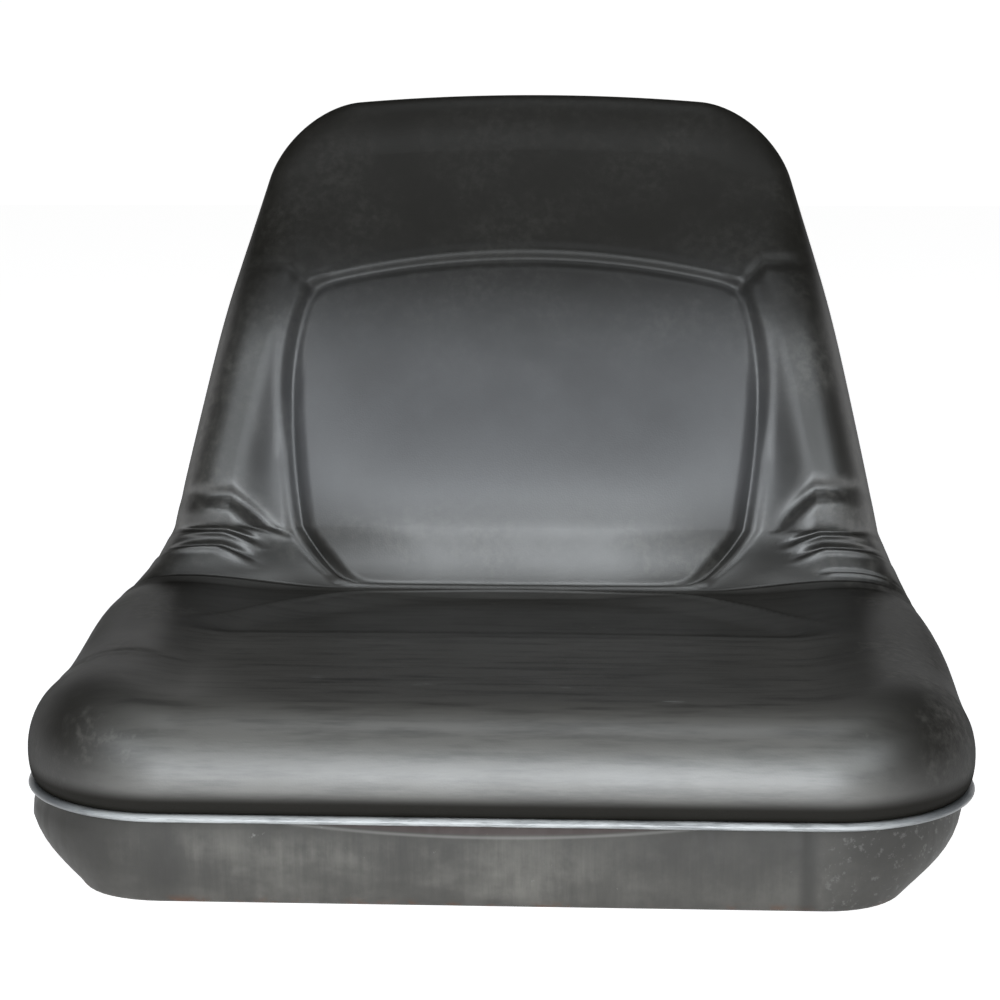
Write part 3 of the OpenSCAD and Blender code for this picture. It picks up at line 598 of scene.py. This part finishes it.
class Nodes:
    """A small helper that adds and links shader nodes."""

    def __init__(self, name):
        self.mat = bpy.data.materials.new(name)
        self.mat.use_nodes = True
        self.t = self.mat.node_tree
        self.bsdf = self.t.nodes["Principled BSDF"]
        self.out = self.t.nodes["Material Output"]

    def add(self, kind, **inputs):
        node = self.t.nodes.new(kind)
        for key, value in inputs.items():
            key = key.replace("_", " ")
            self.put(node.inputs[key], value)
        return node

    def put(self, socket, value):
        if isinstance(value, bpy.types.NodeSocket):
            self.t.links.new(value, socket)
        else:
            socket.default_value = value

    def math(self, op, a, b=0.0, c=0.0, clamp=False):
        node = self.t.nodes.new("ShaderNodeMath")
        node.operation, node.use_clamp = op, clamp
        for socket, value in zip(node.inputs, (a, b, c)):
            self.put(socket, value)
        return node.outputs[0]

    def ramp(self, value, low, high, to_low=0.0, to_high=1.0):
        node = self.t.nodes.new("ShaderNodeMapRange")
        node.interpolation_type = "SMOOTHSTEP"
        for key, v in (("Value", value), ("From Min", low), ("From Max", high), ("To Min", to_low), ("To Max", to_high)):
            self.put(node.inputs[key], v)
        return node.outputs["Result"]

    def colour(self, factor, a, b):
        node = self.t.nodes.new("ShaderNodeMix")
        node.data_type = "RGBA"
        self.put(node.inputs["Factor"], factor)
        self.put(node.inputs["A"], a if isinstance(a, bpy.types.NodeSocket) else (*a, 1))
        self.put(node.inputs["B"], b if isinstance(b, bpy.types.NodeSocket) else (*b, 1))
        return node.outputs["Result"]

    def where(self):
        return self.add("ShaderNodeTexCoord").outputs["Object"]

    def stretched(self, scale):
        node = self.add("ShaderNodeMapping", Vector=self.where())
        node.inputs["Scale"].default_value = scale
        return node.outputs["Vector"]

    def noise(self, vector, scale, detail=2.0, rough=0.5):
        return self.add("ShaderNodeTexNoise", Vector=vector, Scale=scale, Detail=detail, Roughness=rough).outputs["Fac"]

    def bump(self, height, strength, distance, normal=None):
        node = self.add("ShaderNodeBump", Height=height, Strength=strength, Distance=distance)
        if normal is not None:
            self.put(node.inputs["Normal"], normal)
        return node.outputs["Normal"]

    def spot(self, centre, reach):
        """1 at a point, given in mm, and 0 further off than reach along each axis."""
        node = self.add("ShaderNodeMapping", Vector=self.where())
        node.vector_type = "TEXTURE"
        node.inputs["Location"].default_value = [c * MM for c in centre]
        node.inputs["Scale"].default_value = [r * MM for r in reach]
        size = self.add("ShaderNodeVectorMath", Vector=node.outputs["Vector"])
        size.operation = "LENGTH"
        return self.ramp(size.outputs["Value"], 1.0, 0.3)

    def axes(self):
        split = self.add("ShaderNodeSeparateXYZ", Vector=self.where())
        return [self.math("DIVIDE", out, MM) for out in split.outputs]

# Light scuffs on the seat's face: place and half-size in mm
SCUFFS = [((-39, -84, 104), (7, 5, 6)), ((33, -88, 104), (9, 3, 6)), ((-4, -134, 103), (14, 3, 6)),
          ((-96, -70, 104), (5, 9, 6)), ((92, -112, 104), (8, 3, 6))]


def vinyl_material():
    m = Nodes("vinyl")
    where = m.where()
    x, y, z = m.axes()
    cloudy = m.noise(where, 16, 5, 0.65)
    fine = m.noise(where, 190, 3, 0.6)
    across = m.noise(m.stretched((18, 150, 150)), 1.0, 4, 0.65)
    on_seat = m.ramp(z, 128, 98)
    ahead = m.math("MULTIPLY", on_seat, m.ramp(y, CREASE_AT - BOLT_FROM_FRONT + 3, CREASE_AT - BOLT_FROM_FRONT - 8))
    dust_share = m.math("MULTIPLY", m.ramp(across, 0.25, 0.6, 0.35, 1.0), m.math("ADD", 0.5, m.math("MULTIPLY", ahead, 0.5)))
    dust_share = m.math("MULTIPLY", m.math("MULTIPLY", dust_share, on_seat), m.ramp(m.math("ABSOLUTE", x), 230, 150))
    dust = m.math("MAXIMUM", m.math("MULTIPLY", m.ramp(cloudy, 0.38, 0.75), m.ramp(fine, 0.3, 0.8)), dust_share)
    # A painted sheen over the middle of the back: it starts above the seat and fades out up the head roll
    on_back = m.ramp(z, BACK_SHEEN_FROM, BACK_SHEEN_FROM + 40)
    on_head = m.ramp(z, HEAD_DARKER_FROM, HEAD_DARKER_AT)
    painted_sheen = m.math("MULTIPLY", on_back, m.math("SUBTRACT", 1.0, on_head))
    painted_sheen = m.math("MULTIPLY", painted_sheen, m.ramp(m.math("ABSOLUTE", x), 190, 120))
    painted_sheen = m.math("MULTIPLY", painted_sheen, m.ramp(cloudy, 0.2, 0.7, 0.75, 1.0))
    over_lip = m.math("SUBTRACT", z, m.math("MULTIPLY", m.math("ADD", y, BOLT_FROM_FRONT), (LIP_BEND - LIP_FRONT) / FLOOR_LEN))
    crevice_shade = m.ramp(over_lip, LIP_FRONT + CREVICE_SHADE_H, LIP_FRONT + CREVICE_SHADE_H - CREVICE_SHADE_FADE)
    # Less dust on the head roll, which also paints shade there
    dust = m.math("MULTIPLY", dust, m.math("SUBTRACT", 1.0, m.math("MULTIPLY", on_head, 0.8)))
    # No dust just over the bead: painted shade under the roll
    dust = m.math("MULTIPLY", dust, m.math("SUBTRACT", 1.0, crevice_shade))
    body = m.colour(dust, VINYL_DARK, VINYL_DUSTY)
    body = m.colour(painted_sheen, body, VINYL_PAINTED_SHEEN)
    # Less gloss at a flat angle and on the head roll
    facing = m.t.nodes.new("ShaderNodeLayerWeight").outputs["Facing"]
    gloss = m.math("MULTIPLY", m.ramp(facing, 0.45, 0.9, 1.0, 0.06), m.ramp(on_head, 0.3, 1.0, 1.0, 0.22))
    scuffed = 0.0
    for centre, reach in SCUFFS:
        scuffed = m.math("MAXIMUM", scuffed, m.spot(centre, reach))
    scratch = m.noise(m.stretched((60, 900, 900)), 1.0, 3, 0.7)
    scuffed = m.math("MULTIPLY", scuffed, m.ramp(scratch, 0.5, 0.66))
    m.put(m.bsdf.inputs["Base Color"], m.colour(scuffed, body, (0.20, 0.20, 0.19)))
    m.put(m.bsdf.inputs["Roughness"], m.ramp(cloudy, 0.25, 0.8, VINYL_ROUGH - 0.04, VINYL_ROUGH + 0.05))
    cells = m.add("ShaderNodeTexVoronoi", Vector=where, Scale=900.0)
    cells.feature = "F1"
    m.put(m.bsdf.inputs["Normal"], m.bump(cells.outputs["Distance"], 0.2, 0.0002))
    gloss = m.math("MULTIPLY", gloss, m.math("SUBTRACT", 1.0, m.math("MULTIPLY", crevice_shade, 0.9)))
    # The seat's outer sides are duller
    outer = m.math("MULTIPLY", on_seat, m.ramp(m.math("ABSOLUTE", x), 180, 245))
    gloss = m.math("MULTIPLY", gloss, m.math("SUBTRACT", 1.0, m.math("MULTIPLY", outer, 0.85)))
    m.put(m.bsdf.inputs["Specular IOR Level"], gloss)
    m.put(m.bsdf.inputs["Coat Weight"], m.math("MULTIPLY", gloss, VINYL_COAT))
    m.bsdf.inputs["Coat Roughness"].default_value = VINYL_COAT_ROUGH
    return m.mat


# The faint fold under the bead on the front wall, drawn in paint alone with a painted highlight along it: its lowest
# height, how far it climbs to its ends, its half-length
FOLD_LOW, FOLD_CLIMB, FOLD_HALF, FOLD_W = 38.5, 7.5, 114, 0.8


# Where the pan's right front corner is dented
DENT_X = 160


def steel_material():
    m = Nodes("painted_steel")
    x, y, z = m.axes()
    streak = m.noise(m.stretched((210, 120, 9)), 1.0, 5, 0.65)
    cloudy = m.noise(m.where(), 26, 5, 0.65)
    blotch = m.noise(m.stretched((9, 9, 22)), 1.0, 4, 0.6)
    fine = m.noise(m.where(), 420, 3, 0.7)
    low = m.ramp(z, 34, 6)
    dust = m.math("ADD", m.math("MULTIPLY", m.ramp(streak, 0.3, 0.75), 0.34),
                  m.math("MULTIPLY", m.ramp(cloudy, 0.36, 0.68), 0.5))
    dust = m.math("MULTIPLY", m.math("ADD", dust, m.math("MULTIPLY", low, 0.25)), m.ramp(blotch, 0.34, 0.62, 0.3, 1.0))
    # How much of the dust shows: less over the right half and at the outer corners, and less towards the top of the
    # wall, which paints shade under the bead
    dust_share = m.math("MULTIPLY", m.ramp(x, -10, 95, 1.0, 0.45), m.ramp(x, -205, -150, 0.3, 1.0))
    dust_share = m.math("MULTIPLY", dust_share, m.ramp(x, 150, 200, 1.0, 0.55))
    dust_share = m.math("MULTIPLY", dust_share, m.ramp(z, 26, 46, 1.0, 0.4))
    patch = m.spot((-166, -130, 20), (16, 60, 26))
    dust = m.math("MULTIPLY", m.math("MULTIPLY", dust, dust_share), m.math("SUBTRACT", 1.0, m.math("MULTIPLY", patch, 0.8)))
    paint = m.colour(dust, STEEL_DARK, STEEL_DUSTY)
    front = m.ramp(y, -136, -141)
    # The fold: a light line, a painted highlight, and a dark reddish band between it and the bead
    part = m.math("DIVIDE", x, FOLD_HALF)
    line = m.math("ADD", m.math("MULTIPLY", m.math("MULTIPLY", part, part), FOLD_CLIMB), FOLD_LOW)
    off = m.math("SUBTRACT", z, line)
    middle = m.math("MULTIPLY", front, m.ramp(m.math("ABSOLUTE", x), FOLD_HALF + 6, FOLD_HALF - 18))
    bright = m.math("MULTIPLY", m.ramp(m.math("ABSOLUTE", off), FOLD_W * 1.7, 0.0), middle)
    band = m.math("MULTIPLY", m.ramp(off, 0.4, 2.4), middle)
    paint = m.colour(m.math("MULTIPLY", band, 0.75), paint, (0.040, 0.024, 0.022))
    paint = m.colour(m.math("MULTIPLY", bright, 0.4), paint, (0.26, 0.25, 0.235))
    # Rust along the lower edge
    rust = m.math("MULTIPLY", m.ramp(z, 6, 0.5), m.ramp(m.noise(m.where(), 34, 4, 0.7), 0.48, 0.62))
    paint = m.colour(m.math("MULTIPLY", rust, 0.8), paint, (0.10, 0.042, 0.02))
    # The dented right corner, drawn in paint alone: a dark crease of painted shade, and light spots to its right
    off_crease = m.math("ABSOLUTE", m.math("SUBTRACT", x, DENT_X))
    dent_shade = m.math("MULTIPLY", m.ramp(off_crease, 7.0, 1.0), m.ramp(y, -120, -135))
    paint = m.colour(m.math("MULTIPLY", dent_shade, 0.65), paint, (0.018, 0.017, 0.015))
    spots = m.math("MULTIPLY", m.ramp(m.noise(m.where(), 210, 3, 0.7), 0.56, 0.68), m.ramp(x, DENT_X + 3, DENT_X + 14))
    paint = m.colour(m.math("MULTIPLY", spots, 0.3), paint, (0.22, 0.215, 0.205))
    chip = m.math("MULTIPLY", m.ramp(m.noise(m.where(), 150, 4, 0.75), 0.68, 0.74), front)
    paint = m.colour(m.math("MULTIPLY", chip, 0.6), paint, (0.24, 0.235, 0.22))
    m.put(m.bsdf.inputs["Base Color"], paint)
    m.put(m.bsdf.inputs["Roughness"], m.ramp(streak, 0.3, 0.7, 0.55, 0.7))
    relief = m.math("ADD", m.math("MULTIPLY", streak, 0.7), m.math("MULTIPLY", fine, 0.5))
    m.put(m.bsdf.inputs["Normal"], m.bump(relief, 0.25, 0.0004))
    return m.mat


def trim_material():
    m = Nodes("trim")
    x, y, z = m.axes()
    cloudy = m.noise(m.where(), 60, 3, 0.6)
    nicks = m.noise(m.stretched((34, 90, 400)), 1.0, 5, 0.7)
    # The bead's front is lighter, a painted highlight, broken up by nicks
    bright = m.math("MULTIPLY", m.ramp(m.math("ABSOLUTE", x), 236, 170), m.ramp(y, -110, -140))
    bright = m.math("MULTIPLY", bright, m.ramp(nicks, 0.36, 0.56, 0.3, 1.0))
    grey = m.colour(cloudy, (0.10, 0.105, 0.11), (0.17, 0.175, 0.18))
    m.put(m.bsdf.inputs["Base Color"], m.colour(bright, grey, (0.52, 0.53, 0.53)))
    m.put(m.bsdf.inputs["Roughness"], m.ramp(nicks, 0.35, 0.65, 0.3, 0.45))
    m.bsdf.inputs["Specular IOR Level"].default_value = 0.7
    return m.mat


def plate_material(name, dark, light, rough, metal):
    m = Nodes(name)
    cloudy = m.noise(m.where(), 120, 4, 0.6)
    m.put(m.bsdf.inputs["Base Color"], m.colour(cloudy, dark, light))
    m.put(m.bsdf.inputs["Roughness"], m.ramp(cloudy, 0.3, 0.7, rough - 0.06, rough + 0.08))
    m.put(m.bsdf.inputs["Normal"], m.bump(cloudy, 0.2, 0.0003))
    m.bsdf.inputs["Metallic"].default_value = metal
    return m.mat


# ---------------------------------------------------------------- the pieces
cushion = make_cushion()
cushion.data.materials.append(vinyl_material())
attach(cushion, "root")
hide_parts("vinyl_cover", "cushion_foam")

shell = make_shell()
shell.data.materials.append(steel_material())
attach(shell, "root")
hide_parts("seat_pan")

edge_bead = make_bead(cushion_grid()[0])
edge_bead.data.materials.append(trim_material())
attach(edge_bead, "root")
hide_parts("edge_trim")


def repaint(node, mat):
    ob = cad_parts[node]
    if not ob.material_slots:
        ob.data.materials.append(mat)
    for slot in ob.material_slots:
        slot.material = mat


plate_paint = plate_material("plate_steel", (0.02, 0.02, 0.02), (0.05, 0.047, 0.043), 0.5, 0.0)
repaint("left_mount_plate", plate_paint)
repaint("right_mount_plate", plate_paint)
repaint("weld_nuts", plate_material("nut_steel", (0.42, 0.4, 0.34), (0.62, 0.6, 0.54), 0.35, 1.0))


# ---------------------------------------------------------------- floor, light and camera
def flag(m, *names):
    """1 for the named kinds of ray."""
    path = m.t.nodes.new("ShaderNodeLightPath")
    total = path.outputs[names[0]]
    for name in names[1:]:
        total = m.math("MAXIMUM", total, path.outputs[name])
    return total


# How bright the floor is for the camera and in reflections, over what the lamps give it, and the studio's plain light
FLOOR_GLOW, ROOM, SWEEP = 0.93, 0.06, 0.97


def make_floor():
    me = bpy.data.meshes.new("floor")
    size = 8.0
    me.from_pydata([(-size, -size, 0), (size, -size, 0), (size, size, 0), (-size, size, 0)], [], [(0, 1, 2, 3)])
    ob = bpy.data.objects.new("floor", me)
    bpy.context.scene.collection.objects.link(ob)
    ob.location.z = -0.0004
    m = Nodes("floor")
    m.bsdf.inputs["Base Color"].default_value = (0.86, 0.86, 0.86, 1)
    m.bsdf.inputs["Roughness"].default_value = 0.9
    m.bsdf.inputs["Specular IOR Level"].default_value = 0.0
    seen = flag(m, "Is Camera Ray", "Is Glossy Ray", "Is Transmission Ray")
    m.bsdf.inputs["Emission Color"].default_value = (1, 1, 1, 1)
    m.put(m.bsdf.inputs["Emission Strength"], m.math("MULTIPLY", seen, FLOOR_GLOW))
    ob.data.materials.append(m.mat)


def make_world():
    world = bpy.data.worlds.new("studio")
    world.use_nodes = True
    bpy.context.scene.world = world
    t = world.node_tree
    m = Nodes.__new__(Nodes)
    m.t = t
    background = t.nodes["Background"]
    path = t.nodes.new("ShaderNodeLightPath")
    coords = t.nodes.new("ShaderNodeTexCoord")
    split = t.nodes.new("ShaderNodeSeparateXYZ")
    t.links.new(coords.outputs["Generated"], split.inputs[0])
    behind = m.ramp(split.outputs["Y"], 0.2, 0.9)
    low = m.ramp(split.outputs["Z"], 0.5, 0.1)
    sweep = m.math("MULTIPLY", behind, low)
    mirrored = m.math("MULTIPLY", m.math("MAXIMUM", path.outputs["Is Glossy Ray"],
                                         path.outputs["Is Transmission Ray"]), sweep)
    seen = m.math("MAXIMUM", path.outputs["Is Camera Ray"], mirrored)
    background.inputs["Color"].default_value = (1, 1, 1, 1)
    t.links.new(m.math("ADD", ROOM, m.math("MULTIPLY", seen, SWEEP)), background.inputs["Strength"])


# The softboxes: how far round to the right of the seat's front and how high they stand, in degrees, their distance,
# their width and height in metres, and their radiance
LAMPS = [("front", 0, 16, 2.6, (0.9, 0.55), 10.5), ("front_right", 35, 16, 2.6, (0.9, 0.55), 3.5),
         ("front_left", -35, 16, 2.6, (0.9, 0.55), 3.0), ("high_right", 35, 30, 2.6, (0.9, 0.55), 5.5),
         ("high_left", -35, 30, 2.6, (0.9, 0.55), 5.5), ("above", 0, 80, 2.6, (0.9, 0.55), 5.0),
         ("low", 0, -2.8, 1.75, (0.85, 0.2), 26.0)]
LIT_CENTRE = (0, 0.05, 0.2)
LAMP_TINT = (0.915, 0.965, 1.0)


def add_softbox(name, azimuth, elevation, distance, size, radiance):
    data = bpy.data.lights.new(name, "AREA")
    data.shape, data.size, data.size_y = "RECTANGLE", size[0], size[1]
    data.energy = radiance * np.pi * size[0] * size[1]
    data.color = LAMP_TINT
    ob = bpy.data.objects.new(name, data)
    a, e = np.radians(azimuth), np.radians(elevation)
    ob.location = Vector(LIT_CENTRE) + distance * Vector((np.sin(a) * np.cos(e), -np.cos(a) * np.cos(e), np.sin(e)))
    ob.rotation_euler = (Vector(LIT_CENTRE) - ob.location).to_track_quat("-Z", "Y").to_euler()
    ob.visible_camera = False
    bpy.context.scene.collection.objects.link(ob)
    return ob


def make_camera():
    data = bpy.data.cameras.new("camera")
    data.lens, data.sensor_width = 93.28, 36.0
    data.clip_start, data.clip_end = 0.05, 50
    ob = bpy.data.objects.new("camera", data)
    bpy.context.scene.collection.objects.link(ob)
    eye, target, roll = Vector((0.0749, -1.4053, 0.4115)), Vector((-0.0068, 0.0740, 0.1769)), np.radians(-0.07)
    forward = (target - eye).normalized()
    right = forward.cross(Vector((0, 0, 1))).normalized()
    up = right.cross(forward)
    turned_right = right * np.cos(roll) + up * np.sin(roll)
    turned_up = up * np.cos(roll) - right * np.sin(roll)
    ob.matrix_world = Matrix((turned_right, turned_up, -forward)).transposed().to_4x4()
    ob.location = eye
    bpy.context.scene.camera = ob


make_floor()
make_world()
for lamp_name, azimuth, elevation, distance, lamp_size, radiance in LAMPS:
    add_softbox(lamp_name, azimuth, elevation, distance, lamp_size, radiance)
make_camera()
scene = bpy.context.scene
scene.view_settings.view_transform = "Standard"
